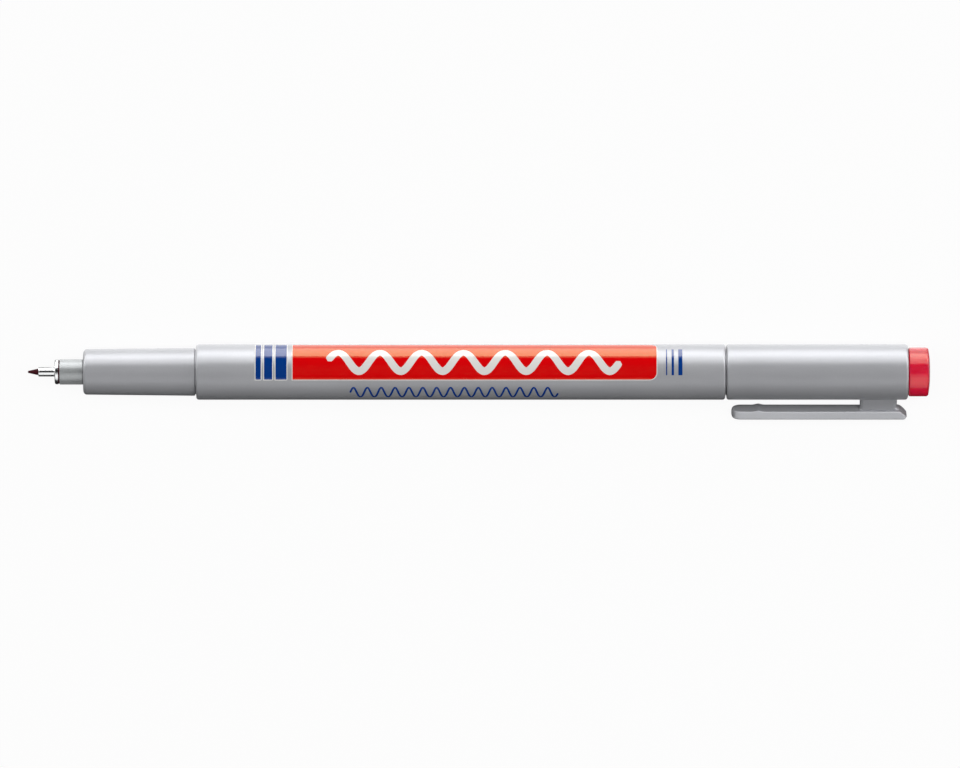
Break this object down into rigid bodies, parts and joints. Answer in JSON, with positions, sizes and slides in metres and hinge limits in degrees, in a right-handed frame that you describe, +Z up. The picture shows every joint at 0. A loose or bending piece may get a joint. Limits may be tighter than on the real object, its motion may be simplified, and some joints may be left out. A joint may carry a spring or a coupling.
{
  "type": "non-permanent marker",
  "caption": "Slim fine-tipped marker with a grey barrel and grip, steel needle tip, and a clip cap with a coloured end plug pushed onto the tail",
  "frame": {"origin": "on the surface that the pen lies on, under the pen's axis, half way along the pen with its cap on the tail", "axes": "+X from the tip to the cap's coloured end, +Z up, and the clip on the -Y side, lying against the surface"},
  "size_m": [0.1544, 0.0128, 0.0095],
  "materials": {
    "grey_plastic": "satin moulded polypropylene with a fine metallic grey pigment",
    "nose_plastic": "glossy moulded plastic",
    "steel": "bright deep-drawn stainless steel",
    "nib_fibre": "ink-soaked fibre",
    "ink_colour_plastic": "glossy moulded plastic in the ink's colour",
    "reservoir_fibre": "ink-soaked polyester fibre",
    "reservoir_film": "thin clear film",
    "seal_plastic": "waxy natural polyethylene",
    "label_print": "printed ink film on the barrel"
  },
  "bodies": {
    "pen": {"barrel": "grey_plastic", "section": "grey_plastic", "nib_holder": "nose_plastic", "ferrule": "steel", "nib": "nib_fibre", "reservoir_core": "reservoir_fibre", "reservoir_sleeve": "reservoir_film", "tail_plug": "grey_plastic"},
    "cap_end": {"cap_plug": "ink_colour_plastic", "inner_cap": "seal_plastic"},
    "cap": {"cap_shell": "grey_plastic"},
    "clip": {"clip": "grey_plastic"}
  },
  "joints": [
    {"name": "cap_pull", "type": "slide", "parent": "pen", "child": "cap_end", "axis": [1, 0, 0], "range_m": [0, 0.025]},
    {"name": "cap_turn", "type": "hinge", "parent": "cap_end", "child": "cap", "pos_m": [0.06, 0, 0.00474], "axis": [-1, 0, 0], "continuous": true},
    {"name": "clip_flex", "type": "hinge", "parent": "cap", "child": "clip", "pos_m": [0.07145, -0.00462, 0.00269], "axis": [0, -0.4059, 0.9139], "range_deg": [0, 4], "stiffness_Nm_per_rad": 1}
  ]
}
